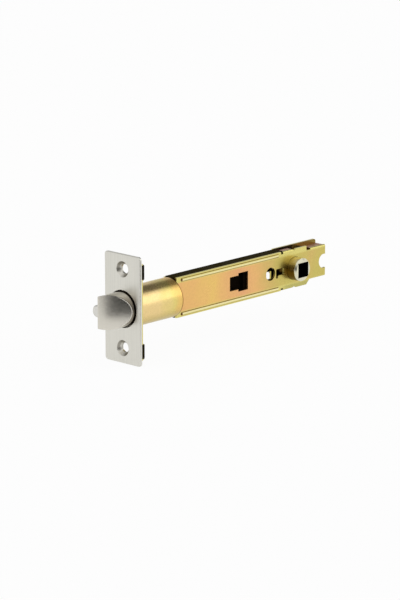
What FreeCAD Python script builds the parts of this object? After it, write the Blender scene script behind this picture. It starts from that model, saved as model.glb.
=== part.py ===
"""Tubular door latch with a long case, as a parametric document.

Frame: the origin is the middle of the faceplate's front face, on the latch axis. +X runs back
into the door towards the spindle hub, +Z is up, and -Y is the side that the bolt's bevel faces.
Lengths are in millimetres, angles in degrees.
"""
import FreeCAD, Part
import math
import operator
import os
import types

import Sketcher

# Driving dimensions: each one is a cell of the sheet, and is written only here.
SIZES = {
    # Faceplate and backplate
    "plate_width": 25.4,
    "plate_height": 57.15,
    "plate_thick": 1.2,
    "plate_corner": 1.8,
    "plate_edge_bevel": 0.3,
    "screw_spacing": 41.3,
    "screw_hole_dia": 5.0,
    "screw_sink_dia": 8.5,
    "screw_sink_depth": 1.9,
    "sink_boss_dia": 7.2,
    "sink_boss_end_dia": 6.0,
    "sink_boss_depth": 1.0,
    "bolt_hole_gap": 0.8,
    "backing_height": 50.4,
    "backing_thick": 0.6,
    "trough_height": 8.4,
    "trough_depth": 1.2,
    "trough_taper": 0.3,
    # Barrel
    "tube_dia": 21.0,
    "tube_wall": 0.9,
    "tube_end": 34.0,
    "end_plate_thick": 2.0,
    "end_plate_inset": 0.5,
    # Case plates
    "case_width": 9.2,
    "case_height": 21.3,
    "sheet": 1.2,
    "case_rear": 151.8,
    "far_rear": 152.9,
    "far_corner": 1.2,
    "far_edge_drop": 0.7,
    "case_gap": 1.0,
    "front_tab_length": 3.0,
    "front_tab_margin": 0.9,
    "bead_front": 38.6,
    "bead_rear": 113.8,
    "bead_width": 1.5,
    "bead_proud": 0.5,
    "bead_edge_gap": 0.8,
    "window_front": 75.6,
    "window_step": 82.2,
    "window_rear": 89.7,
    "window_narrow": 7.6,
    "window_wide": 10.0,
    "fixing_x": 107.6,
    "fixing_dia": 7.2,
    "slot_front": 112.0,
    "slot_rear": 118.2,
    "slot_height": 3.7,
    "slot_foot": 1.4,
    "slot_foot_length": 1.7,
    "slot_round": 0.55,
    "far_window_front": 113.0,
    "far_window_rear": 117.0,
    "far_window_top": 1.2,
    "far_window_bottom": 5.6,
    "relief_front": 115.9,
    "relief_rear": 117.6,
    "relief_depth": 1.3,
    "flange_front": 118.7,
    "flange_rear": 125.2,
    "flange_reach": 3.9,
    "vee_length": 2.7,
    "vee_depth": 0.95,
    "shoulder_rear": 136.4,
    "crossbar_front": 139.7,
    "crossbar_rear": 151.0,
    "crossbar_height": 16.6,
    "crossbar_lift": 0.7,
    "corner_relief": 0.9,
    "bend_round": 0.75,
    "notch_dia": 7.8,
    "notch_inset": 1.2,
    # Nylon liners
    "liner_rear": 118.4,
    "liner_depth": 1.25,
    "liner_proud": 0.05,
    "liner_round": 0.3,
    # Bolt, tail and spring
    "bolt_clear": 0.5,
    "bolt_throw": 14.2,
    "nose_land": 0.6,
    "nose_round": 0.35,
    "bevel_root": 1.6,
    "collar_front": 3.5,
    "collar_rear": 7.0,
    "tail_thick": 2.0,
    "tail_height": 6.0,
    "tail_offset": 1.0,
    "tail_seat": 2.0,
    "tail_end": 61.0,
    "tail_head_length": 3.0,
    "tail_head_height": 10.0,
    "pin_dia": 2.4,
    "bolt_spring_dia": 9.0,
    "bolt_spring_wire": 1.0,
    "bolt_spring_turns": 4,
    "coil_sides": 12,
    "wire_sides": 6,
    # Guard pin and spring
    "guard_gap": 1.0,
    "guard_margin": 0.8,
    "guard_reach": 13.0,
    "guard_rear": 16.0,
    "guard_height": 6.4,
    "guard_depth": 3.9,
    "guard_side_round": 2.9,
    "guard_round": 0.9,
    "guard_spring_dia": 4.2,
    "guard_spring_wire": 0.6,
    "guard_spring_turns": 4,
    # Deadlock leaf
    "leaf_front": 13.0,
    "leaf_thick": 0.6,
    "leaf_height": 2.5,
    "leaf_margin": 0.8,
    "leaf_foot": 1.6,
    # Extension link
    "link_front": 44.0,
    "link_rear": 91.0,
    "lost_motion": 12.0,
    "link_recess_depth": 1.9,
    "link_recess_rear": 87.6,
    "boss_front": 79.0,
    "boss_step": 82.0,
    "boss_rear": 86.0,
    "boss_narrow": 4.0,
    "boss_wide": 9.0,
    "link_round": 0.6,
    # Retractor fork
    "fork_front": 77.0,
    "fork_sheet": 1.5,
    "fork_round": 2.0,
    "lug_front": 123.6,
    "lug_thick": 1.5,
    # Spindle hub
    "backset": 127.0,
    "hub_dia": 12.5,
    "hub_length": 21.5,
    "hub_rim": 0.9,
    "hub_collar_dia": 13.2,
    "spindle_square": 8.0,
    "arm_reach": 11.5,
    "arm_width": 2.6,
    "arm_lean_angle": 40.0,
    # Clearances
    "seat_gap": 0.05,
    "slide_gap": 0.3,
    "bore_gap": 0.12,
}

OPERATIONS = {"+": operator.add, "-": operator.sub, "*": operator.mul, "/": operator.truediv}


class Size:
    """A number worked out from the sheet: its value now, and the formula that keeps it."""

    def __init__(self, value, formula):
        self.value = value
        self.formula = formula

    def __add__(self, other):
        return combined(self, "+", other)

    def __radd__(self, other):
        return combined(other, "+", self)

    def __sub__(self, other):
        return combined(self, "-", other)

    def __rsub__(self, other):
        return combined(other, "-", self)

    def __mul__(self, other):
        return combined(self, "*", other)

    def __rmul__(self, other):
        return combined(other, "*", self)

    def __truediv__(self, other):
        return combined(self, "/", other)

    def __neg__(self):
        return combined(0, "-", self)


def as_size(number):
    """A Size as it is, or a plain number as a Size."""
    if isinstance(number, Size):
        return number
    return Size(float(number), repr(float(number)))


def combined(left, sign, right):
    left = as_size(left)
    right = as_size(right)
    value = OPERATIONS[sign](left.value, right.value)
    return Size(value, "(%s %s %s)" % (left.formula, sign, right.formula))


def cosine(angle):
    return Size(math.cos(math.radians(angle.value)), "cos(%s)" % angle.formula)


def sine(angle):
    return Size(math.sin(math.radians(angle.value)), "sin(%s)" % angle.formula)


def root(area):
    return Size(math.sqrt(area.value), "sqrt(%s)" % area.formula)


# Document and sheet
doc = FreeCAD.newDocument("TubularLatch")
sheet = doc.addObject("Spreadsheet::Sheet", "Sizes")
for row, (alias, number) in enumerate(SIZES.items(), 1):
    sheet.set("A%d" % row, alias)
    sheet.set("B%d" % row, str(number))
    sheet.setAlias("B%d" % row, alias)
doc.recompute()
s = types.SimpleNamespace(**{name: Size(number, "Sizes." + name) for name, number in SIZES.items()})


# Building helpers
def bind(feature, field, size):
    """Tie one property of a feature to the sheet."""
    feature.setExpression(field, as_size(size).formula)


def new_body(name):
    body = doc.addObject("PartDesign::Body", name)
    body.Label = name
    return body


def rectangle(x0, y0, x1, y1):
    return [(x0, y0), (x1, y0), (x1, y1), (x0, y1)]


def circle(x, y, radius):
    return (x, y, radius)


def place_point(sketch, curve, end, x, y):
    """Hold one point of a sketch at its distances from the sketch's origin."""
    for kind, distance in (("DistanceX", as_size(x)), ("DistanceY", as_size(y))):
        index = sketch.addConstraint(Sketcher.Constraint(kind, -1, 1, curve, end, distance.value))
        sketch.setExpression("Constraints[%d]" % index, distance.formula)


def draw_circle(sketch, x, y, radius):
    centre = FreeCAD.Vector(as_size(x).value, as_size(y).value, 0)
    curve = sketch.addGeometry(Part.Circle(centre, FreeCAD.Vector(0, 0, 1), radius.value), False)
    place_point(sketch, curve, 3, x, y)
    index = sketch.addConstraint(Sketcher.Constraint("Radius", curve, radius.value))
    sketch.setExpression("Constraints[%d]" % index, radius.formula)


def draw_polygon(sketch, corners):
    points = [FreeCAD.Vector(as_size(x).value, as_size(y).value, 0) for x, y in corners]
    lines = [Part.LineSegment(a, b) for a, b in zip(points, points[1:] + points[:1])]
    curves = sketch.addGeometry(lines, False)
    for before, after in zip(curves[-1:] + curves[:-1], curves):
        sketch.addConstraint(Sketcher.Constraint("Coincident", before, 2, after, 1))
    for curve, (x, y) in zip(curves, corners):
        place_point(sketch, curve, 1, x, y)


def drawn(body, name, plane, height, outlines):
    """A sketch on one of the body's own planes, at a height along that plane's normal."""
    sketch = body.newObject("Sketcher::SketchObject", name)
    support = next(item for item in body.Origin.OriginFeatures if item.Role == plane)
    sketch.AttachmentSupport = [(support, "")]
    sketch.MapMode = "FlatFace"
    bind(sketch, "AttachmentOffset.Base.z", height)
    for outline in outlines:
        if isinstance(outline, tuple):
            draw_circle(sketch, *outline)
        else:
            draw_polygon(sketch, outline)
    return sketch


def pad(body, name, plane, start, end, *outlines):
    """Add material between two places along the plane's axis. XZ's normal points to -Y."""
    height = -as_size(end) if plane == "XZ_Plane" else start
    feature = body.newObject("PartDesign::Pad", name)
    feature.Profile = drawn(body, name + "_sketch", plane, height, outlines)
    bind(feature, "Length", as_size(end) - start)
    return feature


def cut(body, name, plane, start, end, *outlines):
    """Take material away between two places along the plane's axis, and see that it went."""
    doc.recompute()
    volume = body.Shape.Volume
    height = -as_size(start) if plane == "XZ_Plane" else end
    feature = body.newObject("PartDesign::Pocket", name)
    feature.Profile = drawn(body, name + "_sketch", plane, height, outlines)
    bind(feature, "Length", as_size(end) - start)
    doc.recompute()
    if body.Shape.Volume >= volume:
        raise RuntimeError("%s cut nothing" % name)
    return feature


def edges_where(feature, test):
    """Names of a feature's edges whose box passes a test."""
    doc.recompute()
    edges = feature.Shape.Edges
    return ["Edge%d" % number for number, edge in enumerate(edges, 1) if test(edge.BoundBox)]


def dress(body, kind, name, size, test):
    """Fillet or chamfer the edges of the body's last feature that pass a test."""
    base = body.Tip
    names = edges_where(base, test)
    if not names:
        raise RuntimeError("%s found no edge" % name)
    feature = body.newObject("PartDesign::" + kind, name)
    feature.Base = (base, names)
    bind(feature, "Radius" if kind == "Fillet" else "Size", size)
    doc.recompute()
    if "Invalid" in feature.State or "Error" in feature.State or not feature.Shape.Volume > 0:
        raise RuntimeError("%s failed on %d edges" % (name, len(names)))
    return feature


def cone(body, kind, name, z, start, start_radius, end_radius, depth):
    """Add or take away a cone that narrows backwards along X, at a height above the latch axis."""
    feature = body.newObject("PartDesign::%sCone" % kind, name)
    support = next(item for item in body.Origin.OriginFeatures if item.Role == "YZ_Plane")
    feature.AttachmentSupport = [(support, "")]
    feature.MapMode = "FlatFace"
    bind(feature, "AttachmentOffset.Base.y", z)
    bind(feature, "AttachmentOffset.Base.z", start)
    bind(feature, "Radius1", start_radius)
    bind(feature, "Radius2", end_radius)
    bind(feature, "Height", depth)
    return feature


def near(number, size):
    return abs(number - as_size(size).value) < 1e-4


def at(low, high, size):
    """Whether a stretch lies wholly at one place."""
    return near(low, size) and near(high, size)


def along_x(box):
    return box.XLength > 0.01 and box.YLength < 0.01 and box.ZLength < 0.01


def along_y(box):
    return box.YLength > 0.01 and box.XLength < 0.01 and box.ZLength < 0.01


# Places that several pieces share
half_width = s.plate_width / 2
half_height = s.plate_height / 2
screw_z = s.screw_spacing / 2
backing_rear = s.plate_thick + s.backing_thick
tube_bore = s.tube_dia / 2 - s.tube_wall
bolt_radius = tube_bore - s.bolt_clear
bolt_hole_radius = bolt_radius + s.bolt_hole_gap
guard_far = tube_bore - s.guard_margin
guard_near = guard_far - s.guard_depth
bolt_flat = guard_near - s.guard_gap
leaf_near = bolt_flat + s.slide_gap
outer_face = s.case_width / 2
inner_face = outer_face - s.sheet
case_top = s.case_height / 2
front_tab_high = root(tube_bore * tube_bore - outer_face * outer_face) - s.front_tab_margin
front_tab_low = front_tab_high - s.front_tab_length
end_plate_rear = s.tube_end - s.end_plate_inset
case_front = s.tube_end + s.case_gap
end_plate_front = end_plate_rear - s.end_plate_thick
tail_near = -s.tail_offset - s.tail_thick / 2
tail_far = -s.tail_offset + s.tail_thick / 2
slide_face = inner_face - s.slide_gap
liner_inside = case_top + s.liner_proud - s.liner_depth
slide_top = liner_inside - s.slide_gap
fork_far = slide_face
fork_near = fork_far - s.fork_sheet
flange_end = -outer_face + s.flange_reach
collar_radius = s.hub_collar_dia / 2
prong_low = collar_radius + s.slide_gap
bearing_bore = s.hub_dia / 2 + s.bore_gap
arm_near = flange_end + s.slide_gap
arm_far = fork_near - s.slide_gap


# Faceplate: bolt hole, softened front edge, and screw sinks pressed through to the back
def make_faceplate():
    body = new_body("faceplate")
    outline = rectangle(-half_width, -half_height, half_width, half_height)
    pad(body, "plate", "YZ_Plane", 0, s.plate_thick, outline, circle(0, 0, bolt_hole_radius))
    dress(body, "Fillet", "plate_corners", s.plate_corner,
          lambda box: along_x(box) and near(abs(box.YMin), half_width))
    dress(body, "Chamfer", "plate_edge", s.plate_edge_bevel,
          lambda box: at(box.XMin, box.XMax, 0)
          and (near(max(-box.YMin, box.YMax), half_width) or near(max(-box.ZMin, box.ZMax), half_height)))
    boss_end = s.plate_thick + s.sink_boss_depth
    for name, sign in (("lower", -1), ("upper", 1)):
        cone(body, "Additive", name + "_boss", sign * screw_z, s.plate_thick, s.sink_boss_dia / 2,
             s.sink_boss_end_dia / 2, s.sink_boss_depth)
        cut(body, name + "_hole", "YZ_Plane", 0, boss_end, circle(0, sign * screw_z, s.screw_hole_dia / 2))
        cone(body, "Subtractive", name + "_sink", sign * screw_z, 0, s.screw_sink_dia / 2,
             s.screw_hole_dia / 2, s.screw_sink_depth)
    return body


# Backplate: thin sheet, pressed back into a trough across each screw hole
def make_backplate():
    body = new_body("backplate")
    tube_hole = circle(0, 0, s.tube_dia / 2 + s.seat_gap)
    half_backing = s.backing_height / 2
    outline = rectangle(-half_width, -half_backing, half_width, half_backing)
    pad(body, "backing", "YZ_Plane", s.plate_thick, backing_rear, outline, tube_hole)
    half_trough = s.trough_height / 2
    wall = s.backing_thick
    for name, sign in (("lower", -1), ("upper", 1)):
        low = sign * screw_z - half_trough
        high = sign * screw_z + half_trough
        rib = [(backing_rear - wall / 2, low), (backing_rear, low),
               (backing_rear + s.trough_depth, low + s.trough_taper),
               (backing_rear + s.trough_depth, high - s.trough_taper),
               (backing_rear, high), (backing_rear - wall / 2, high)]
        pad(body, name + "_rib", "XZ_Plane", -half_width, half_width, rib)
        hollow = [(s.plate_thick, low + wall / 2), (s.plate_thick, high - wall / 2),
                  (s.plate_thick + s.trough_depth, high - wall / 2 - s.trough_taper),
                  (s.plate_thick + s.trough_depth, low + wall / 2 + s.trough_taper)]
        cut(body, name + "_hollow", "XZ_Plane", -half_width, half_width, hollow)
        rib_rear = backing_rear + s.trough_depth
        cut(body, name + "_screw_hole", "YZ_Plane", s.plate_thick, rib_rear,
            circle(0, sign * screw_z, s.screw_hole_dia / 2))
    dress(body, "Fillet", "rib_rounds", s.trough_depth * 0.8,
          lambda box: along_y(box) and near(box.XMin, backing_rear + s.trough_depth))
    return body


# Barrel: plain tube, and the slotted disc in its rear that both springs push on
def make_barrel_tube():
    body = new_body("barrel_tube")
    pad(body, "tube", "YZ_Plane", s.plate_thick, s.tube_end,
        circle(0, 0, s.tube_dia / 2), circle(0, 0, tube_bore))
    return body


def front_tab_slots(gap):
    """Outlines in YZ of the places where the case plates' front tabs pass the end plate."""
    slots = []
    for side in (-1, 1):
        for sign in (-1, 1):
            edges = sorted([side * (inner_face - gap), side * (outer_face + gap)], key=lambda e: e.value)
            ends = sorted([sign * (front_tab_low - gap), sign * (front_tab_high + gap)],
                          key=lambda e: e.value)
            slots.append(rectangle(edges[0], ends[0], edges[1], ends[1]))
    return slots


def make_barrel_end_plate():
    body = new_body("barrel_end_plate")
    half_tail = s.tail_height / 2 + s.slide_gap
    tail_slot = rectangle(tail_near - s.slide_gap, -half_tail, tail_far + s.slide_gap, half_tail)
    pad(body, "disc", "YZ_Plane", end_plate_front, end_plate_rear,
        circle(0, 0, tube_bore - s.seat_gap), tail_slot, *front_tab_slots(s.seat_gap))
    return body


# Case: two pressed side plates
def front_edge(top):
    """The front end of a side plate from bottom to top, with its two tabs into the barrel."""
    return [(case_front, -top),
            (case_front, -front_tab_high), (end_plate_front, -front_tab_high),
            (end_plate_front, -front_tab_low), (case_front, -front_tab_low),
            (case_front, front_tab_low), (end_plate_front, front_tab_low),
            (end_plate_front, front_tab_high), (case_front, front_tab_high),
            (case_front, top)]


def press_beads(body, outside, inside, side):
    """Two long beads pressed outwards near the plate's edges."""
    bead_top = case_top - s.bead_edge_gap
    bead_low = bead_top - s.bead_width
    crown = outside + side * s.bead_proud
    groove_end = inside + side * s.bead_proud
    groove_edge = s.bead_width / 4
    for name, sign in (("lower", -1), ("upper", 1)):
        ends = sorted([sign * bead_low, sign * bead_top], key=lambda e: e.value)
        spans = sorted([outside, crown], key=lambda e: e.value)
        strip = rectangle(s.bead_front, ends[0], s.bead_rear, ends[1])
        pad(body, name + "_bead", "XZ_Plane", spans[0], spans[1], strip)
        dress(body, "Fillet", name + "_bead_ends", s.bead_width * 0.45,
              lambda box: along_y(box) and near(box.YLength, s.bead_proud)
              and (near(box.XMin, s.bead_front) or near(box.XMin, s.bead_rear)))
        dress(body, "Fillet", name + "_bead_crown", s.bead_proud * 0.7,
              lambda box: at(box.YMin, box.YMax, crown)
              and ends[0].value - 0.01 < box.ZMin and box.ZMax < ends[1].value + 0.01)
        spans = sorted([inside, groove_end], key=lambda e: e.value)
        cut(body, name + "_groove", "XZ_Plane", spans[0], spans[1],
            rectangle(s.bead_front + groove_edge, ends[0] + groove_edge,
                      s.bead_rear - groove_edge, ends[1] - groove_edge))


def shared_holes():
    """Round openings that both side plates share: fixing hole and hub bearing."""
    return [circle(s.fixing_x, 0, s.fixing_dia / 2), circle(s.backset, 0, bearing_bore)]


def make_case_near():
    body = new_body("case_near")
    vee_rear = s.flange_rear + s.vee_length
    bar_low = s.crossbar_height / 2
    bar_top = bar_low + s.crossbar_lift
    low_step = s.shoulder_rear + case_top - bar_low
    outline = front_edge(case_top) + [
        (s.relief_front, case_top), (s.relief_front, case_top - s.relief_depth),
        (s.relief_rear, case_top - s.relief_depth), (s.relief_rear, case_top),
        (s.flange_rear, case_top), (s.flange_rear + s.vee_length / 2, case_top - s.vee_depth),
        (vee_rear, case_top), (s.shoulder_rear, case_top),
        (s.shoulder_rear, bar_top - s.corner_relief), (s.crossbar_front, bar_top - s.corner_relief),
        (s.crossbar_front, bar_top), (s.case_rear, bar_top), (s.case_rear, -bar_low),
        (low_step, -bar_low), (s.shoulder_rear, -case_top), (vee_rear, -case_top),
        (s.flange_rear + s.vee_length / 2, s.vee_depth - case_top), (s.flange_rear, -case_top),
        (s.relief_rear, -case_top), (s.relief_rear, s.relief_depth - case_top),
        (s.relief_front, s.relief_depth - case_top), (s.relief_front, -case_top)]
    pad(body, "plate", "XZ_Plane", -outer_face, -inner_face, outline, *shared_holes())
    half_narrow = s.window_narrow / 2
    half_wide = s.window_wide / 2
    window = [(s.window_front, -half_narrow), (s.window_step, -half_narrow),
              (s.window_step, -half_wide), (s.window_rear, -half_wide),
              (s.window_rear, half_wide), (s.window_step, half_wide),
              (s.window_step, half_narrow), (s.window_front, half_narrow)]
    cut(body, "t_window", "XZ_Plane", -outer_face, -inner_face, window)
    half_slot = s.slot_height / 2
    slot_heel = s.slot_front + s.slot_foot_length
    slot = [(s.slot_front, half_slot), (s.slot_rear, half_slot), (s.slot_rear, -half_slot),
            (slot_heel, -half_slot), (slot_heel, -half_slot - s.slot_foot),
            (s.slot_front, -half_slot - s.slot_foot)]
    cut(body, "slot", "XZ_Plane", -outer_face, -inner_face, slot)
    dress(body, "Fillet", "slot_rounds", s.slot_round,
          lambda box: along_y(box) and s.slot_front.value - 0.01 < box.XMin
          and box.XMax < s.slot_rear.value + 0.01 and abs(box.ZMin) < half_wide.value)
    cut(body, "rear_notch", "XZ_Plane", -outer_face, -inner_face,
        circle(s.case_rear - s.notch_inset, 0, s.notch_dia / 2))
    for name, sign, bar_edge in (("lower", -1, bar_low), ("upper", 1, bar_top)):
        ends = sorted([sign * (case_top - s.sheet), sign * case_top], key=lambda e: e.value)
        pad(body, name + "_flange", "XZ_Plane", -outer_face, flange_end,
            rectangle(s.flange_front, ends[0], s.flange_rear, ends[1]))
        ends = sorted([sign * (bar_edge - s.sheet), sign * bar_edge], key=lambda e: e.value)
        pad(body, name + "_crossbar", "XZ_Plane", -outer_face, inner_face,
            rectangle(s.crossbar_front, ends[0], s.crossbar_rear, ends[1]))
    press_beads(body, -outer_face, -inner_face, -1)
    dress(body, "Fillet", "bends", s.bend_round,
          lambda box: along_x(box) and near(box.YMin, -outer_face)
          and (near(abs(box.ZMin), case_top) and near(box.XMax, s.flange_rear)
               or (near(box.ZMin, bar_top) or near(-box.ZMin, bar_low)) and near(box.XMax, s.case_rear)))
    return body


def make_case_far():
    body = new_body("case_far")
    edge = case_top - s.far_edge_drop
    outline = front_edge(edge) + [
        (s.liner_rear, edge), (s.liner_rear, case_top), (s.far_rear, case_top),
        (s.far_rear, -case_top), (s.liner_rear, -case_top), (s.liner_rear, -edge)]
    pad(body, "plate", "XZ_Plane", inner_face, outer_face, outline, *shared_holes())
    cut(body, "rear_notch", "XZ_Plane", inner_face, outer_face,
        circle(s.case_rear - s.notch_inset, 0, s.notch_dia / 2))
    cut(body, "low_window", "XZ_Plane", inner_face, outer_face,
        rectangle(s.far_window_front, -s.far_window_bottom, s.far_window_rear, -s.far_window_top))
    dress(body, "Fillet", "rear_corners", s.far_corner,
          lambda box: along_y(box) and near(box.XMin, s.far_rear) and near(abs(box.ZMin), case_top))
    press_beads(body, outer_face, inner_face, 1)
    return body


# Nylon liners between the side plates
def make_liner(name, sign):
    body = new_body(name)
    edges = sorted([sign * liner_inside, sign * (case_top + s.liner_proud)], key=lambda e: e.value)
    width = inner_face - s.seat_gap
    pad(body, "strip", "XY_Plane", edges[0], edges[1],
        rectangle(case_front, -width, s.liner_rear - s.seat_gap, width))
    outside = sign * (case_top + s.liner_proud)
    dress(body, "Fillet", "strip_edges", s.liner_round,
          lambda box: along_x(box) and near(box.ZMin, outside))
    return body


# Bolt: round, flat towards the guard pin, bevelled, with a guide collar and a slot for its tail
pin_x = (s.tail_seat + s.collar_rear) / 2
pin_radius = s.pin_dia / 2
pin_near = -bolt_radius / 2


def make_latch_bolt():
    body = new_body("latch_bolt")
    collar = tube_bore - s.bore_gap
    pad(body, "head", "YZ_Plane", -s.bolt_throw, s.collar_rear, circle(0, 0, bolt_radius))
    pad(body, "collar", "YZ_Plane", s.collar_front, s.collar_rear, circle(0, 0, collar))
    cut(body, "guard_flat", "YZ_Plane", -s.bolt_throw, s.collar_rear,
        rectangle(bolt_flat, -2 * collar, 2 * collar, 2 * collar))
    land = bolt_flat - s.nose_land
    bevel = [(-s.bolt_throw, land), (-s.bevel_root, -bolt_radius), (-s.bevel_root, -2 * bolt_radius),
             (-2 * s.bolt_throw, -2 * bolt_radius), (-2 * s.bolt_throw, land)]
    cut(body, "bevel", "XY_Plane", -2 * bolt_radius, 2 * bolt_radius, bevel)
    dress(body, "Fillet", "nose_edge", s.nose_round,
          lambda box: at(box.XMin, box.XMax, -s.bolt_throw) and box.ZLength > bolt_radius.value)
    half_slot = s.tail_height / 2 + s.seat_gap
    cut(body, "tail_slot", "YZ_Plane", s.tail_seat - s.seat_gap, s.collar_rear,
        rectangle(tail_near - s.seat_gap, -half_slot, tail_far + s.seat_gap, half_slot))
    cut(body, "pin_hole", "XZ_Plane", pin_near - s.seat_gap, bolt_flat,
        circle(pin_x, 0, pin_radius + s.seat_gap))
    return body


def make_bolt_tail():
    body = new_body("bolt_tail")
    half = s.tail_height / 2
    half_head = s.tail_head_height / 2
    neck = s.tail_end - s.tail_head_length
    outline = [(s.tail_seat, -half), (neck, -half), (neck, -half_head), (s.tail_end, -half_head),
               (s.tail_end, half_head), (neck, half_head), (neck, half), (s.tail_seat, half)]
    pad(body, "strip", "XZ_Plane", tail_near, tail_far, outline,
        circle(pin_x, 0, pin_radius + s.seat_gap))
    return body


def make_tail_pin():
    body = new_body("tail_pin")
    pad(body, "pin", "XZ_Plane", pin_near, bolt_flat - s.slide_gap, circle(pin_x, 0, pin_radius))
    return body


# Guard pin: D-shaped in section, rounded at its tip
def make_guard_pin():
    body = new_body("guard_pin")
    half = s.guard_height / 2
    pad(body, "stem", "YZ_Plane", -s.guard_reach, s.guard_rear,
        rectangle(guard_near, -half, guard_far, half))
    dress(body, "Fillet", "stem_back", s.guard_side_round,
          lambda box: along_x(box) and near(box.YMin, guard_far))
    dress(body, "Fillet", "tip", s.guard_round, lambda box: at(box.XMin, box.XMax, -s.guard_reach))
    return body


# Compression springs, wound along X between two faces. Nothing shows them, so the wire is faceted:
# short straight lengths of a many-sided section, mitred together.
def make_spring(name, front, rear, y, outer_dia, wire_dia, turns):
    wire = wire_dia.value / 2
    radius = outer_dia.value / 2 - wire
    start = front.value + wire + s.seat_gap.value
    travel = rear.value - wire - s.seat_gap.value - start
    sides = int(s.coil_sides.value)
    steps = int(turns.value) * sides
    points = []
    for step in range(steps + 1):
        angle = 2 * math.pi * step / sides
        points.append(FreeCAD.Vector(start + travel * step / steps, y.value + radius * math.cos(angle),
                                     radius * math.sin(angle)))
    along = (points[1] - points[0]).normalize()
    outwards = FreeCAD.Vector(0, 1, 0)
    sideways = along.cross(outwards)
    outwards = sideways.cross(along)
    corners = []
    for side in range(int(s.wire_sides.value)):
        angle = 2 * math.pi * side / s.wire_sides.value
        corners.append(points[0] + outwards * (wire * math.cos(angle)) + sideways * (wire * math.sin(angle)))
    section = Part.makePolygon(corners + corners[:1])
    spring = doc.addObject("Part::Feature", name)
    spring.Label = name
    spring.Shape = Part.makePolygon(points).makePipeShell([section], True, False, 1)
    return spring


# Deadlock leaf: a strip beside the bolt's flat, with a foot on the end plate
def make_deadlock_leaf():
    body = new_body("deadlock_leaf")
    leaf_far = leaf_near + s.leaf_thick
    foot = end_plate_front - s.leaf_thick
    outline = [(s.leaf_front, leaf_near), (end_plate_front, leaf_near),
               (end_plate_front, leaf_far + s.leaf_foot), (foot, leaf_far + s.leaf_foot),
               (foot, leaf_far), (s.leaf_front, leaf_far)]
    foot_far = leaf_far + s.leaf_foot
    leaf_high = root(tube_bore * tube_bore - foot_far * foot_far) - s.leaf_margin
    pad(body, "leaf", "XY_Plane", leaf_high - s.leaf_height, leaf_high, outline)
    return body


# Extension link: nylon slide that takes the tail's head and carries the retractor
def tee(front, step, rear, narrow, wide):
    """A T lying along X, its foot towards the front."""
    return [(front, -narrow), (step, -narrow), (step, -wide), (rear, -wide),
            (rear, wide), (step, wide), (step, narrow), (front, narrow)]


def make_extension_link():
    body = new_body("extension_link")
    pad(body, "near_half", "XZ_Plane", -slide_face, fork_near,
        rectangle(s.link_front, -slide_top, s.link_rear, slide_top))
    pad(body, "far_half", "XZ_Plane", fork_near, slide_face,
        rectangle(s.link_front, -slide_top, s.fork_front - s.slide_gap, slide_top))
    pad(body, "boss", "XZ_Plane", fork_near, fork_far,
        tee(s.boss_front, s.boss_step, s.boss_rear, s.boss_narrow / 2, s.boss_wide / 2))
    dress(body, "Fillet", "ends", s.link_round,
          lambda box: along_y(box) and near(abs(box.ZMin), slide_top))
    neck_half = s.tail_height / 2 + s.slide_gap
    head_half = s.tail_head_height / 2 + s.slide_gap
    head_front = s.tail_end - s.tail_head_length - s.slide_gap
    head_rear = s.tail_end + s.lost_motion + s.slide_gap
    floor = tail_far + s.slide_gap
    cut(body, "neck_way", "XZ_Plane", -slide_face, floor,
        rectangle(s.link_front, -neck_half, head_front, neck_half))
    cut(body, "head_way", "XZ_Plane", -slide_face, floor,
        rectangle(head_front, -head_half, head_rear, head_half))
    cut(body, "window_recess", "XZ_Plane", -slide_face, s.link_recess_depth - slide_face,
        tee(s.window_front - s.sheet / 2, s.window_step, s.link_recess_rear,
            s.window_narrow / 2 - s.slide_gap, s.window_wide / 2 - s.slide_gap))
    return body


# Retractor: flat fork hooked on the link, with a bent lug at the end of each prong
def make_retractor():
    body = new_body("retractor")
    lug_rear = s.lug_front + s.lug_thick
    outline = [(s.fork_front, -slide_top), (lug_rear, -slide_top), (lug_rear, -prong_low),
               (s.link_rear, -prong_low), (s.link_rear, prong_low), (lug_rear, prong_low),
               (lug_rear, slide_top), (s.fork_front, slide_top)]
    hook = tee(s.boss_front - s.seat_gap, s.boss_step - s.seat_gap, s.boss_rear + s.seat_gap,
               s.boss_narrow / 2 + s.seat_gap, s.boss_wide / 2 + s.seat_gap)
    pad(body, "fork", "XZ_Plane", fork_near, fork_far, outline, hook)
    dress(body, "Fillet", "fork_root", s.fork_round,
          lambda box: along_y(box) and near(box.XMin, s.link_rear))
    for name, sign in (("lower", -1), ("upper", 1)):
        ends = sorted([sign * prong_low, sign * slide_top], key=lambda e: e.value)
        pad(body, name + "_lug", "XZ_Plane", arm_near, fork_far,
            rectangle(s.lug_front, ends[0], lug_rear, ends[1]))
    return body


# Spindle hub: turned journals, a collar between the plates, and two arms that draw the retractor
def make_spindle_hub():
    body = new_body("spindle_hub")
    pad(body, "journals", "XZ_Plane", -s.hub_length / 2, s.hub_length / 2,
        circle(s.backset, 0, s.hub_dia / 2))
    dress(body, "Chamfer", "rims", s.hub_rim, lambda box: near(box.XLength, s.hub_dia))
    pad(body, "collar", "XZ_Plane", -slide_face, slide_face, circle(s.backset, 0, collar_radius))
    across = s.arm_width / 2 * cosine(s.arm_lean_angle)
    rise = s.arm_width / 2 * sine(s.arm_lean_angle)
    tip_x = s.backset - s.arm_reach * sine(s.arm_lean_angle)
    tip_z = s.arm_reach * cosine(s.arm_lean_angle)
    for name, sign in (("lower", -1), ("upper", 1)):
        arm = [(s.backset + across, sign * rise), (tip_x + across, sign * (tip_z + rise)),
               (tip_x - across, sign * (tip_z - rise)), (s.backset - across, -sign * rise)]
        pad(body, name + "_arm", "XZ_Plane", arm_near, arm_far, arm)
    half = s.spindle_square / 2
    cut(body, "spindle_hole", "XZ_Plane", -s.hub_length / 2, s.hub_length / 2,
        rectangle(s.backset - half, -half, s.backset + half, half))
    return body


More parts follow.
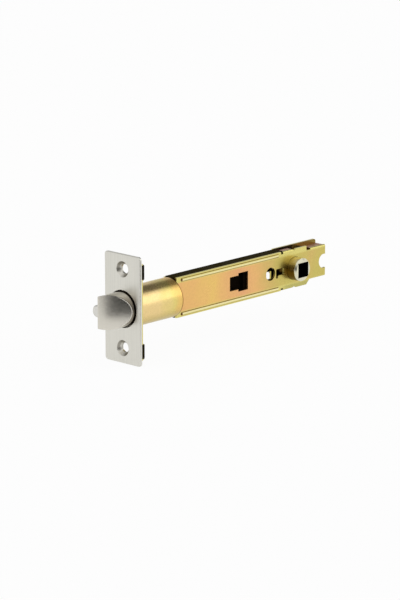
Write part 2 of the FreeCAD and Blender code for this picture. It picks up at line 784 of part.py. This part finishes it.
MAKERS = [make_faceplate, make_backplate, make_barrel_tube, make_barrel_end_plate, make_case_near,
          make_case_far, make_latch_bolt, make_bolt_tail, make_tail_pin, make_guard_pin,
          make_deadlock_leaf, make_extension_link, make_retractor, make_spindle_hub]
pieces = [maker() for maker in MAKERS]
pieces.append(make_liner("liner_top", 1))
pieces.append(make_liner("liner_bottom", -1))
pieces.append(make_spring("bolt_spring", s.collar_rear, end_plate_front, -s.tail_offset,
                          s.bolt_spring_dia, s.bolt_spring_wire, s.bolt_spring_turns))
pieces.append(make_spring("guard_spring", s.guard_rear, end_plate_front, (guard_near + guard_far) / 2,
                          s.guard_spring_dia, s.guard_spring_wire, s.guard_spring_turns))

doc.recompute()
os.makedirs("parts", exist_ok=True)
for item in doc.Objects:
    if "Invalid" in item.State or "Error" in item.State:
        raise RuntimeError("%s failed: %s" % (item.Name, item.State))
for piece in pieces:
    shape = piece.Shape
    if shape.isNull() or not shape.isValid():
        raise RuntimeError("%s has no valid shape" % piece.Label)
for piece in pieces:
    piece.Shape.exportStep("parts/%s.step" % piece.Label)
    box = piece.Shape.BoundBox
    print("%-18s %d solid  %9.1f mm3  X %.1f %.1f  Y %.1f %.1f  Z %.1f %.1f" % (
        piece.Label, len(piece.Shape.Solids), piece.Shape.Volume,
        box.XMin, box.XMax, box.YMin, box.YMax, box.ZMin, box.ZMax))
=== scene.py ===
"""Finish, light and camera for the tubular door latch.

Every finish is procedural and reads the object's own coordinates, in metres: +X runs back along
the case, +Z is up, and -Y is the side that the bolt's bevel faces.
"""
import math

import bpy
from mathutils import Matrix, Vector


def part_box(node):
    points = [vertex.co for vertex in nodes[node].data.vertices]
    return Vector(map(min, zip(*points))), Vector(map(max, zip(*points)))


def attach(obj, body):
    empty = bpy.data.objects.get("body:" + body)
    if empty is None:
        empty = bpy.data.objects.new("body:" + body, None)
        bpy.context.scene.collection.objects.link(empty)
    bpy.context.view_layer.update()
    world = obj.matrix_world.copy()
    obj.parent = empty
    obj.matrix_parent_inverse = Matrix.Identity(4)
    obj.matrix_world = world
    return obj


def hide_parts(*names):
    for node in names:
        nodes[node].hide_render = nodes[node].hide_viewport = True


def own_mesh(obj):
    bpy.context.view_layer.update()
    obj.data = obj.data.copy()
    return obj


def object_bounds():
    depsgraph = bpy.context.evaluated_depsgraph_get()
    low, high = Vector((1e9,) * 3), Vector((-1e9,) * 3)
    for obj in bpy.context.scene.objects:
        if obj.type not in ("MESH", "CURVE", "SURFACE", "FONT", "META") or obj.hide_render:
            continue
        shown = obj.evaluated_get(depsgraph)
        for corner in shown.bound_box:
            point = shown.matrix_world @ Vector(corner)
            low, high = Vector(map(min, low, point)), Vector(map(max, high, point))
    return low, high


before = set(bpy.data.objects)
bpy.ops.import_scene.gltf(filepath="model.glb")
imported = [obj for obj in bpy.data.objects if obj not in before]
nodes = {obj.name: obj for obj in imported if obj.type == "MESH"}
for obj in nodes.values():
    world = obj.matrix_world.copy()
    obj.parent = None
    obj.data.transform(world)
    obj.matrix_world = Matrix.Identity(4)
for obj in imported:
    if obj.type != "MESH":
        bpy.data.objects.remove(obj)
cad_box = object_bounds()

MM = 0.001

# The photograph's frame and viewpoint
PHOTO_HEIGHT = 600
PIXELS_PER_MM = 1.9139
VIEW_DISTANCE = 1.6
VIEW_YAW = math.radians(43.2)
VIEW_PITCH = math.radians(14.0)
VIEW_TARGET = Vector((57.8, 0.2, -5.9)) * MM
SENSOR = 36.0

# Studio
FLOOR_DROP = 0.3 * MM
FLOOR_SIZE = 3.0
KEY_WATTS = 0.7
KEY_SIZE = 0.7
KEY_PLACE = Vector((0.75, -0.75, 0.5))
FLOOR_SEEN = 0.94
FLOOR_MIRRORED = 0.8
OVERHEAD_SHADE = 0.88
BEHIND_SHADE = 0.4

# Dark cards in front of the bolt: centre, length and width
FLAG_SHADE = 0.02
FLAG_TURN = math.radians(-45)
LYING_FLAG = ((-0.0672, -0.3118, cad_box[0][2] + 0.5 * MM), 0.36, 0.32)
STANDING_FLAG = ((-0.1344, -0.4313, cad_box[0][2] + 150 * MM), 0.44, 0.3)

# Pressed beads along the case, as distances from the latch axis and from the faceplate
BEAD_LOW = 8.35 * MM
BEAD_TOP = 9.85 * MM
BEAD_FRONT = 38.6 * MM
BEAD_REAR = 113.8 * MM
BEND_FRONT = BEAD_REAR + 3.0 * MM

# The side plates' inner faces, and where light reaches them from the rear end
CASE_INSIDE = 3.4 * MM
INNER_LIT = 133.0 * MM

# Hub, screw sinks, tube and backing sheet
HUB_PLACE = 127.0 * MM
HUB_BRIGHT = 9.7 * MM
SPINDLE_HALF = 4.08 * MM
SINK_RADIUS = 4.25 * MM
SINK_HEIGHT = 20.65 * MM
TUBE_BORE = 9.6 * MM
BOLT_RADIUS = 9.1 * MM
EDGE_ROUGH = 0.6
RIB_START = 1.9 * MM
RIB_LOW = 13.5 * MM
RIB_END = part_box("backplate")[1][1]


def srgb(red, green, blue):
    """A colour as it is seen on screen, 0 to 255, as the linear colour that a shader takes."""
    def linear(level):
        level /= 255.0
        return level / 12.92 if level <= 0.04045 else ((level + 0.055) / 1.055) ** 2.4
    return (linear(red), linear(green), linear(blue), 1.0)


# Node building
def add(tree, kind, **settings):
    """Add a shader node, set its properties, and set its inputs where a key names one."""
    node = tree.nodes.new("ShaderNode" + kind)
    for key, value in settings.items():
        if hasattr(node, key):
            setattr(node, key, value)
        else:
            node.inputs[key.replace("_", " ")].default_value = value
    return node


def link(tree, source, target):
    tree.links.new(source, target)


def math_node(tree, operation, first, second=None):
    """A Math node whose inputs are sockets or numbers. Returns its output."""
    node = add(tree, "Math", operation=operation)
    for index, value in enumerate((first, second)):
        if value is None:
            continue
        if isinstance(value, (int, float)):
            node.inputs[index].default_value = value
        else:
            link(tree, value, node.inputs[index])
    return node.outputs[0]


def ranged(tree, value, low, high, to_low=0.0, to_high=1.0):
    """A value's smooth place between two limits."""
    node = add(tree, "MapRange", interpolation_type="SMOOTHSTEP")
    for name, number in (("From Min", low), ("From Max", high), ("To Min", to_low), ("To Max", to_high)):
        node.inputs[name].default_value = number
    link(tree, value, node.inputs["Value"])
    return node.outputs["Result"]


def place_between(tree, value, low, high):
    """A value's even place between two limits, 0 to 1."""
    node = add(tree, "MapRange")
    node.inputs["From Min"].default_value = low
    node.inputs["From Max"].default_value = high
    link(tree, value, node.inputs["Value"])
    return node.outputs["Result"]


def both(tree, first, second):
    """Where two masks overlap."""
    return math_node(tree, "MULTIPLY", first, second)


def size_of(tree, value):
    """A value without its sign."""
    return math_node(tree, "ABSOLUTE", value)


def mixed(tree, factor, first, second, blend="MIX"):
    """Two colours mixed by a factor. Each may be a socket or a plain value."""
    node = add(tree, "Mix", data_type="RGBA", blend_type=blend)
    for socket, value in ((node.inputs[0], factor), (node.inputs[6], first), (node.inputs[7], second)):
        if hasattr(value, "links"):
            link(tree, value, socket)
        else:
            socket.default_value = value
    return node.outputs[2]


def ramp(tree, value, stops):
    """A colour ramp through (place, colour) stops."""
    node = add(tree, "ValToRGB")
    elements = node.color_ramp.elements
    while len(elements) < len(stops):
        elements.new(1.0)
    for element, (place, colour) in zip(elements, stops):
        element.position = place
        element.color = colour
    link(tree, value, node.inputs[0])
    return node.outputs[0]


def new_group(name, inputs, outputs):
    """A shader node group with named sockets: (name, kind, default) inputs, (name, kind) outputs."""
    group = bpy.data.node_groups.new(name, "ShaderNodeTree")
    for label, kind, default in inputs:
        socket = group.interface.new_socket(label, in_out="INPUT", socket_type="NodeSocket" + kind)
        if default is not None:
            socket.default_value = default
    for label, kind in outputs:
        group.interface.new_socket(label, in_out="OUTPUT", socket_type="NodeSocket" + kind)
    return group, group.nodes.new("NodeGroupInput"), group.nodes.new("NodeGroupOutput")


def use_group(tree, group, **values):
    node = tree.nodes.new("ShaderNodeGroup")
    node.node_tree = group
    for key, value in values.items():
        node.inputs[key.replace("_", " ")].default_value = value
    return node


# Shared effects
def brushed_effect():
    """Fine brush lines: stretched noise. Grain gives the lines' length and spacing along X, Y and Z."""
    group, source, result = new_group(
        "brush_lines",
        [("Grain", "Vector", (100.0, 100.0, 100.0)), ("Depth", "Float", 0.00001)],
        [("Height", "Float"), ("Tone", "Float")])
    place = add(group, "TexCoord").outputs["Object"]
    stretch = add(group, "VectorMath", operation="MULTIPLY")
    link(group, place, stretch.inputs[0])
    link(group, source.outputs["Grain"], stretch.inputs[1])
    noise = add(group, "TexNoise", Scale=1.0, Detail=4.0, Roughness=0.6)
    link(group, stretch.outputs[0], noise.inputs["Vector"])
    height = math_node(group, "MULTIPLY", noise.outputs[0], source.outputs["Depth"])
    link(group, height, result.inputs["Height"])
    link(group, noise.outputs[0], result.inputs["Tone"])
    return group


def mottle_effect():
    """Soft cloudy variation, with a finer speckle in it."""
    group, source, result = new_group(
        "mottle", [("Size", "Float", 60.0)], [("Cloud", "Float"), ("Speckle", "Float")])
    place = add(group, "TexCoord").outputs["Object"]
    cloud = add(group, "TexNoise", Detail=3.0, Roughness=0.55, Distortion=0.4)
    link(group, place, cloud.inputs["Vector"])
    link(group, source.outputs["Size"], cloud.inputs["Scale"])
    speckle = add(group, "TexNoise", Detail=2.0, Roughness=0.5)
    link(group, place, speckle.inputs["Vector"])
    link(group, math_node(group, "MULTIPLY", source.outputs["Size"], 22.0), speckle.inputs["Scale"])
    link(group, cloud.outputs[0], result.inputs["Cloud"])
    link(group, speckle.outputs[0], result.inputs["Speckle"])
    return group


BRUSH = brushed_effect()
MOTTLE = mottle_effect()


def new_finish(name, metallic, rough):
    """An empty material with a Principled shader. Returns the material, its tree and its shader."""
    finish = bpy.data.materials.new(name)
    finish.use_nodes = True
    tree = finish.node_tree
    shader = tree.nodes["Principled BSDF"]
    shader.inputs["Metallic"].default_value = metallic
    shader.inputs["Roughness"].default_value = rough
    return finish, tree, shader


def bump(tree, shader, height, distance=1.0, strength=1.0):
    node = add(tree, "Bump", Strength=strength, Distance=distance)
    link(tree, height, node.inputs["Height"])
    link(tree, node.outputs[0], shader.inputs["Normal"])


def place_axes(tree):
    """The object's own X, Y and Z as three sockets."""
    split = add(tree, "SeparateXYZ")
    link(tree, add(tree, "TexCoord").outputs["Object"], split.inputs[0])
    return split.outputs


# Places on the part that its finishes follow
def hypotenuse(tree, first, second):
    squares = [math_node(tree, "MULTIPLY", side, side) for side in (first, second)]
    return math_node(tree, "SQRT", math_node(tree, "ADD", *squares))


def screw_reach(tree, y, z):
    """The distance from the nearer screw's axis."""
    above = math_node(tree, "SUBTRACT", size_of(tree, z), SINK_HEIGHT)
    return hypotenuse(tree, y, above)


def sink_shade(tree, x, y, z, colour):
    """The screw sinks, a little below the front face: a darker tone as painted shade, with painted reflection
    lighter low down and round the hole.
    """
    reach = screw_reach(tree, y, z)
    round_screw = ranged(tree, reach, SINK_RADIUS, SINK_RADIUS - 0.3 * MM)
    below = ranged(tree, x, 0.03 * MM, 0.12 * MM)
    above = math_node(tree, "SUBTRACT", size_of(tree, z), SINK_HEIGHT)
    climb = math_node(tree, "MULTIPLY", above, math_node(tree, "SIGN", z))
    low = both(tree, ranged(tree, climb, -0.9 * MM, -2.2 * MM), ranged(tree, y, -1.2 * MM, 0.3 * MM))
    near_hole = ranged(tree, reach, SINK_RADIUS - 0.9 * MM, SINK_RADIUS - 1.5 * MM)
    tone = mixed(tree, math_node(tree, "MAXIMUM", low, near_hole), SINK_SHADE, SINK_REFLECTION)
    return mixed(tree, both(tree, round_screw, below), colour, tone)


def bolt_edge(tree, y, z):
    """The narrow edge of the bevel where it meets the bolt's round side, clearest at the bevel's root: the band
    that gets a painted highlight and a rougher finish.
    """
    reach = hypotenuse(tree, y, z)
    edge = both(tree, ranged(tree, reach, BOLT_RADIUS - 0.6 * MM, BOLT_RADIUS - 0.35 * MM),
                ranged(tree, reach, BOLT_RADIUS - 0.12 * MM, BOLT_RADIUS - 0.25 * MM))
    return both(tree, edge, ranged(tree, y, -2.0 * MM, -6.0 * MM))


def bolt_shade(tree, x, y, z, colour):
    """The bolt: a painted highlight along the bevel's edge, and painted shade on the round side that faces -Y."""
    round_side = ranged(tree, hypotenuse(tree, y, z), BOLT_RADIUS - 0.2 * MM, BOLT_RADIUS - 0.12 * MM)
    shaded = both(tree, round_side, ranged(tree, y, -3.0 * MM, -7.5 * MM))
    return mixed(tree, shaded, mixed(tree, bolt_edge(tree, y, z), colour, EDGE_HIGHLIGHT), BOLT_SIDE_SHADE)


def satin_metal(name, colour, dark, grain, rough, depth=3e-6, shade=None, edge=None):
    """Brushed plated metal: brush lines move its tone and roughness a little, and an edge mask, where given,
    makes edges rougher so they scatter light.
    """
    finish, tree, shader = new_finish(name, 1.0, rough)
    brush = use_group(tree, BRUSH, Grain=grain, Depth=depth)
    cloud = use_group(tree, MOTTLE, Size=45.0)
    tone = ranged(tree, brush.outputs["Tone"], 0.3, 0.7)
    toned = mixed(tree, tone, dark, colour)
    soft = ranged(tree, cloud.outputs["Cloud"], 0.35, 0.7, 0.0, 0.35)
    base = mixed(tree, soft, toned, colour)
    if shade:
        base = shade(tree, *place_axes(tree), base)
    link(tree, base, shader.inputs["Base Color"])
    gloss = ranged(tree, brush.outputs["Tone"], 0.25, 0.75, rough - 0.04, rough + 0.06)
    if edge:
        _, y, z = place_axes(tree)
        edge_and_top_light = math_node(tree, "MULTIPLY", edge(tree, y, z), EDGE_ROUGH)
        gloss = math_node(tree, "MAXIMUM", gloss, edge_and_top_light)
    link(tree, gloss, shader.inputs["Roughness"])
    bump(tree, shader, brush.outputs["Height"])
    return finish


# Yellow passivated zinc: thin-film colours drift along the piece, by up to about half of this length
FILM_DRIFT = 35.0 * MM
PEACH = srgb(239, 188, 121)
AMBER = srgb(240, 200, 116)
BLUSH = srgb(236, 177, 124)
OLIVE = srgb(208, 193, 106)
SAND = srgb(216, 188, 112)
STRAW = srgb(226, 214, 128)
PALE_GOLD = srgb(242, 213, 150)
LIME = srgb(232, 212, 126)
# Painted shade on the beads' foot lines
BEAD_FOOT_SHADE = srgb(150, 120, 62)
RUST = srgb(172, 112, 66)
# Painted shade: the dot at each bead's front end
BEAD_END_SHADE = srgb(120, 82, 46)
# Painted shade on the case plates' inner faces, deepest where no light reaches from the rear end
INNER_SHADE = srgb(140, 118, 58)
DEEP_INNER_SHADE = srgb(72, 52, 28)
# Painted light on the top of the hub's barrel
LIT_TOP = srgb(206, 190, 146)
# Painted shade in the screw sinks, and painted reflection lighter low down and round the hole
SINK_SHADE = srgb(158, 154, 144)
SINK_REFLECTION = srgb(208, 205, 196)
# Painted shade on the bolt's round side, and a painted highlight along the bevel's edge
BOLT_SIDE_SHADE = srgb(150, 142, 130)
EDGE_HIGHLIGHT = srgb(238, 233, 222)
# Painted shade in the spindle hole and on the backing ribs' ends
RECESS_SHADE = srgb(40, 34, 24)
BARE_STEEL = srgb(206, 203, 192)
# Painted shade on the tube's lower side, and a painted shadow at its rear end
TUBE_LOW_SHADE = srgb(197, 175, 98)
TUBE_END_SHADOW = srgb(158, 116, 64)
# Painted shade on the side plates' low edge at the rear, below the hub
SHADE_BELOW_HUB = srgb(194, 186, 110)
# Painted shade in the tube's bore and on its front end
BORE_SHADE = srgb(52, 42, 26)
# Painted highlight on the beads' crests
CREST_HIGHLIGHT = srgb(244, 234, 176)


def bead_shade(tree, x, z, field):
    """The pressed beads: dark foot lines of painted shade, a painted highlight on the crest, a straw edge, and a
    dot of painted shade at the front end.
    """
    height = size_of(tree, z)
    across_bead = place_between(tree, height, BEAD_LOW - 0.6 * MM, BEAD_TOP + 0.6 * MM)
    bead = ramp(tree, across_bead, [
        (0.0, BEAD_FOOT_SHADE), (0.2, BEAD_FOOT_SHADE), (0.34, CREST_HIGHLIGHT), (0.56, CREST_HIGHLIGHT), (0.66, STRAW), (0.8, BEAD_FOOT_SHADE), (0.9, STRAW)])
    field = mixed(tree, ranged(tree, height, BEAD_LOW - 1.2 * MM, BEAD_LOW), field, STRAW)
    starts = ranged(tree, x, BEAD_FRONT - 0.5 * MM, BEAD_FRONT)
    stops = ranged(tree, x, BEAD_REAR, BEAD_REAR + 0.5 * MM, 1.0, 0.0)
    across = ranged(tree, height, BEAD_LOW - 0.45 * MM, BEAD_LOW - 0.1 * MM)
    field = mixed(tree, both(tree, both(tree, starts, stops), across), field, bead)
    from_end = math_node(tree, "SUBTRACT", x, BEAD_FRONT)
    from_crest = math_node(tree, "SUBTRACT", height, 0.5 * (BEAD_LOW + BEAD_TOP))
    dot = ranged(tree, hypotenuse(tree, from_end, from_crest), 0.7 * MM, 0.45 * MM)
    return mixed(tree, dot, field, BEAD_END_SHADE)


def case_shade(tree, x, y, z, field):
    """The side plates: beads, painted shade on the low edge at the rear, redder bent tabs, and painted shade on
    the inner faces.
    """
    field = bead_shade(tree, x, z, field)
    below_hub = both(tree, ranged(tree, x, BEAD_REAR, BEAD_REAR + 8.0 * MM), ranged(tree, z, -7.5 * MM, -9.0 * MM))
    field = mixed(tree, below_hub, field, SHADE_BELOW_HUB)
    depth = size_of(tree, y)
    between = ranged(tree, depth, CASE_INSIDE - 0.05 * MM, CASE_INSIDE - 0.4 * MM)
    bent = both(tree, between, ranged(tree, x, BEND_FRONT, BEND_FRONT + 1.0 * MM))
    field = mixed(tree, bent, field, RUST)
    inner = both(tree, ranged(tree, depth, CASE_INSIDE + 0.2 * MM, CASE_INSIDE + 0.05 * MM),
                 ranged(tree, depth, CASE_INSIDE - 0.2 * MM, CASE_INSIDE - 0.02 * MM))
    tone = mixed(tree, ranged(tree, x, INNER_LIT, INNER_LIT + 1.5 * MM), DEEP_INNER_SHADE, INNER_SHADE)
    return mixed(tree, inner, field, tone)


def tube_shade(tree, x, y, z, field):
    """The tube: painted shade on its lower side, in its bore and on its front end, and a painted shadow at the
    rim of its rear end.
    """
    front, rear = tube_low[0], tube_high[0]
    field = mixed(tree, ranged(tree, z, -2.0 * MM, -9.0 * MM), field, TUBE_LOW_SHADE)
    bore = ranged(tree, hypotenuse(tree, y, z), TUBE_BORE + 0.2 * MM, TUBE_BORE)
    front_end = ranged(tree, x, front + 0.3 * MM, front + 0.1 * MM)
    shaded = mixed(tree, math_node(tree, "MAXIMUM", bore, front_end), field, BORE_SHADE)
    return mixed(tree, ranged(tree, x, rear - 0.7 * MM, rear - 0.35 * MM), shaded, TUBE_END_SHADOW)


def rib_shade(tree, x, y, z, field):
    """The backing sheet: bare steel at its screw holes, and painted shade on its pressed ribs where they reach
    the sheet's sides.
    """
    rib = both(tree, ranged(tree, x, RIB_START, RIB_START + 0.15 * MM),
               ranged(tree, size_of(tree, z), RIB_LOW, RIB_LOW + 1.0 * MM))
    near_sides = ranged(tree, size_of(tree, y), RIB_END - 0.3 * MM, RIB_END - 0.05 * MM)
    field = mixed(tree, ranged(tree, screw_reach(tree, y, z), 4.0 * MM, 3.7 * MM), field, BARE_STEEL)
    return mixed(tree, both(tree, rib, near_sides), field, RECESS_SHADE)


def zinc(name, stops, start, end, shade=None, rough=0.3):
    """Zinc plate whose film colour follows stops from start to end along X, drifting with a soft noise."""
    finish, tree, shader = new_finish(name, 1.0, rough)
    x, y, z = place_axes(tree)
    clouds = use_group(tree, MOTTLE, Size=38.0)
    drift = math_node(tree, "MULTIPLY", math_node(tree, "SUBTRACT", clouds.outputs["Cloud"], 0.5), FILM_DRIFT)
    along = place_between(tree, math_node(tree, "ADD", x, drift), start, end)
    colour = ramp(tree, along, stops)
    if shade:
        colour = shade(tree, x, y, z, colour)
    speck = ranged(tree, clouds.outputs["Speckle"], 0.3, 0.7, 0.94, 1.0)
    grey = add(tree, "CombineColor")
    for channel in grey.inputs[:3]:
        link(tree, speck, channel)
    link(tree, mixed(tree, 1.0, colour, grey.outputs[0], "MULTIPLY"), shader.inputs["Base Color"])
    gloss = ranged(tree, clouds.outputs["Cloud"], 0.3, 0.7, rough - 0.05, rough + 0.05)
    link(tree, gloss, shader.inputs["Roughness"])
    bump(tree, shader, clouds.outputs["Speckle"], distance=0.000012)
    return finish


def hub_finish(name, bright, shaded_barrel):
    """Turned hub: bright faced ends, painted shade in the square hole, and a plated barrel whose dark tone is
    painted shade, with painted light on its top.
    """
    finish, tree, shader = new_finish(name, 1.0, 0.34)
    x, y, z = place_axes(tree)
    brush = use_group(tree, BRUSH, Grain=(300.0, 2600.0, 300.0), Depth=0.000003)
    face = ranged(tree, size_of(tree, y), HUB_BRIGHT - 0.3 * MM, HUB_BRIGHT)
    from_axis = size_of(tree, math_node(tree, "SUBTRACT", x, HUB_PLACE))
    reach = math_node(tree, "MAXIMUM", from_axis, size_of(tree, z))
    hole = ranged(tree, reach, SPINDLE_HALF, SPINDLE_HALF - 0.06 * MM)
    edge_and_top_light = mixed(tree, ranged(tree, z, 0.5 * MM, 5.5 * MM), shaded_barrel, LIT_TOP)
    link(tree, mixed(tree, hole, mixed(tree, face, edge_and_top_light, bright), RECESS_SHADE), shader.inputs["Base Color"])
    link(tree, ranged(tree, brush.outputs["Tone"], 0.25, 0.75, 0.26, 0.4), shader.inputs["Roughness"])
    bump(tree, shader, brush.outputs["Height"])
    return finish


def nylon(name, dark, light):
    """Moulded black nylon with a faint grain."""
    finish, tree, shader = new_finish(name, 0.0, 0.5)
    shader.inputs["Specular IOR Level"].default_value = 0.004
    grain = use_group(tree, MOTTLE, Size=120.0)
    black = mixed(tree, grain.outputs["Cloud"], dark, light)
    link(tree, black, shader.inputs["Base Color"])
    link(tree, ranged(tree, grain.outputs["Cloud"], 0.3, 0.7, 0.42, 0.6), shader.inputs["Roughness"])
    bump(tree, shader, grain.outputs["Speckle"], distance=0.00002)
    return finish


case_stops = [(0.0, PEACH), (0.12, PEACH), (0.24, AMBER), (0.36, PEACH), (0.48, BLUSH), (0.56, PEACH),
              (0.63, SAND), (0.7, OLIVE), (0.8, OLIVE), (0.88, SAND), (1.0, OLIVE)]
tube_stops = [(0.0, PALE_GOLD), (0.5, PALE_GOLD), (0.85, LIME), (1.0, AMBER)]
case_low, case_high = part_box("case_near")
tube_low, tube_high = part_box("barrel_tube")

# Brush lines per metre along X, Y and Z
PLATE_BRUSH = (40.0, 2600.0, 30.0)
BOLT_BRUSH = (400.0, 400.0, 7000.0)
GUARD_BRUSH = (60.0, 900.0, 900.0)
SPRING_BRUSH = (300.0, 300.0, 300.0)

FINISHES = {
    "faceplate": satin_metal(
        "satin_stainless", srgb(226, 224, 215), srgb(214, 212, 203), PLATE_BRUSH, 0.34, shade=sink_shade),
    "latch_bolt": satin_metal(
        "satin_nickel", srgb(220, 216, 205), srgb(212, 207, 196), BOLT_BRUSH, 0.12, depth=1e-7,
        shade=bolt_shade, edge=bolt_edge),
    "guard_pin": satin_metal(
        "bright_nickel", srgb(224, 222, 216), srgb(208, 206, 200), GUARD_BRUSH, 0.22, depth=2e-7),
    "spindle_hub": hub_finish("turned_hub", srgb(224, 220, 194), srgb(112, 88, 38)),
    "spring_steel": satin_metal(
        "spring_steel", srgb(150, 149, 146), srgb(120, 119, 116), SPRING_BRUSH, 0.35),
    "case": zinc("zinc_case", case_stops, case_low[0], case_high[0], shade=case_shade),
    "tube": zinc("zinc_tube", tube_stops, tube_low[0], tube_high[0], shade=tube_shade, rough=0.24),
    "backing": zinc("zinc_backing", [(0.0, STRAW), (1.0, LIME)], 0.0, tube_high[0], shade=rib_shade),
    "nylon": nylon("black_nylon", srgb(9, 6, 3), srgb(20, 14, 8)),
    # The liners' nylon has a browner, olive tint
    "olive_nylon": nylon("olive_nylon", srgb(30, 25, 3), srgb(44, 37, 6)),
}
WEARS = {
    "faceplate": "faceplate", "latch_bolt": "latch_bolt", "guard_pin": "guard_pin",
    "spindle_hub": "spindle_hub", "barrel_tube": "tube", "backplate": "backing", "barrel_end_plate": "backing",
    "case_near": "case", "case_far": "case", "retractor": "case",
    "liner_top": "olive_nylon", "liner_bottom": "olive_nylon", "extension_link": "nylon",
    "bolt_tail": "spring_steel", "tail_pin": "spring_steel", "bolt_spring": "spring_steel",
    "guard_spring": "spring_steel", "deadlock_leaf": "spring_steel",
}
for node_name, finish_name in WEARS.items():
    slots = nodes[node_name].data.materials
    slots.clear()
    slots.append(FINISHES[finish_name])


def make_coil(name, node_name):
    coil = bpy.data.objects.new(name, nodes[node_name].data.copy())
    bpy.context.collection.objects.link(coil)
    bpy.ops.object.select_all(action="DESELECT")
    coil.select_set(True)
    bpy.context.view_layer.objects.active = coil
    bpy.ops.object.mode_set(mode="EDIT")
    bpy.ops.mesh.select_all(action="SELECT")
    bpy.ops.mesh.remove_doubles(threshold=0.001 * MM)
    bpy.ops.object.mode_set(mode="OBJECT")
    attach(coil, "case")
    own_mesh(coil)
    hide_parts(node_name)


make_coil("bolt_coil", "bolt_spring")
make_coil("guard_coil", "guard_spring")


# Camera
def set_camera():
    flat = math.cos(VIEW_PITCH)
    back = Vector((-flat * math.cos(VIEW_YAW), -flat * math.sin(VIEW_YAW), math.sin(VIEW_PITCH)))
    data = bpy.data.cameras.new("photo_view")
    data.sensor_width = SENSOR
    data.lens = SENSOR * VIEW_DISTANCE / (PHOTO_HEIGHT / PIXELS_PER_MM * MM)
    camera = bpy.data.objects.new("photo_view", data)
    bpy.context.collection.objects.link(camera)
    camera.location = VIEW_TARGET + VIEW_DISTANCE * back
    camera.rotation_euler = (-back).to_track_quat("-Z", "Y").to_euler()
    bpy.context.scene.camera = camera


# White studio: seen directly it is white. In reflections it is darker overhead and behind,
# which draws the round forms.
def set_world():
    world = bpy.data.worlds.new("studio")
    bpy.context.scene.world = world
    world.use_nodes = True
    tree = world.node_tree
    shader = tree.nodes["Background"]
    split = add(tree, "SeparateXYZ")
    link(tree, add(tree, "TexCoord").outputs["Generated"], split.inputs[0])
    x, y, z = split.outputs
    overhead = both(tree, ranged(tree, z, 0.4, 0.56), ranged(tree, x, 0.1, 0.4))
    past_near_side = ranged(tree, y, -0.24, -0.1)
    dark = math_node(tree, "MULTIPLY", both(tree, overhead, past_near_side), OVERHEAD_SHADE)
    behind = both(tree, ranged(tree, y, 0.2, 0.5), ranged(tree, z, -0.05, 0.2))
    shade = math_node(tree, "MAXIMUM", dark, math_node(tree, "MULTIPLY", behind, BEHIND_SHADE))
    level = math_node(tree, "SUBTRACT", 1.0, shade)
    seen = add(tree, "LightPath").outputs["Is Camera Ray"]
    strength = math_node(tree, "MAXIMUM", level, seen)
    link(tree, strength, shader.inputs["Strength"])
    shader.inputs["Color"].default_value = (1.0, 1.0, 1.0, 1.0)


def set_floor():
    """A white floor that keeps the shadow."""
    bpy.ops.object.select_all(action="DESELECT")
    bpy.ops.mesh.primitive_plane_add(size=FLOOR_SIZE, location=(0.06, 0, cad_box[0][2] - FLOOR_DROP))
    floor = bpy.context.object
    floor.name = "studio_floor"
    paint = bpy.data.materials.new("floor_paint")
    paint.use_nodes = True
    tree = paint.node_tree
    shader = tree.nodes["Principled BSDF"]
    shader.inputs["Base Color"].default_value = (0.9, 0.9, 0.9, 1.0)
    shader.inputs["Roughness"].default_value = 0.9
    glow = add(tree, "Emission", Strength=1.0)
    glow.inputs["Color"].default_value = (1.0, 1.0, 1.0, 1.0)
    rays = add(tree, "LightPath")
    blend = add(tree, "MixShader")
    direct = math_node(tree, "MULTIPLY", rays.outputs["Is Camera Ray"], FLOOR_SEEN)
    mirrored = math_node(tree, "MULTIPLY", rays.outputs["Is Glossy Ray"], FLOOR_MIRRORED)
    link(tree, math_node(tree, "MAXIMUM", direct, mirrored), blend.inputs[0])
    link(tree, shader.outputs[0], blend.inputs[1])
    link(tree, glow.outputs[0], blend.inputs[2])
    link(tree, blend.outputs[0], tree.nodes["Material Output"].inputs["Surface"])
    floor.data.materials.append(paint)


def set_flag(name, centre, length, width, tilt=0.0):
    """A dark card that only reflections see."""
    bpy.ops.object.select_all(action="DESELECT")
    bpy.ops.mesh.primitive_plane_add(size=1.0, location=centre, rotation=(tilt, 0, FLAG_TURN))
    card = bpy.context.object
    card.name = name
    card.scale = (length, width, 1.0)
    paint = bpy.data.materials.new(name + "_paint")
    paint.use_nodes = True
    shader = paint.node_tree.nodes["Principled BSDF"]
    shader.inputs["Base Color"].default_value = (FLAG_SHADE, FLAG_SHADE, FLAG_SHADE, 1.0)
    shader.inputs["Roughness"].default_value = 1.0
    card.data.materials.append(paint)
    card.visible_camera = False
    card.visible_shadow = False
    card.visible_diffuse = False


def set_key_light():
    data = bpy.data.lights.new("softbox", "AREA")
    data.shape = "SQUARE"
    data.size = KEY_SIZE
    data.energy = KEY_WATTS
    lamp = bpy.data.objects.new("softbox", data)
    bpy.context.collection.objects.link(lamp)
    lamp.location = KEY_PLACE
    lamp.rotation_euler = (VIEW_TARGET - KEY_PLACE).to_track_quat("-Z", "Y").to_euler()


set_camera()
set_world()
set_floor()
set_key_light()
set_flag("bolt_flag", *LYING_FLAG)
set_flag("standing_flag", *STANDING_FLAG, tilt=math.radians(90))
bpy.context.scene.view_settings.view_transform = "Standard"
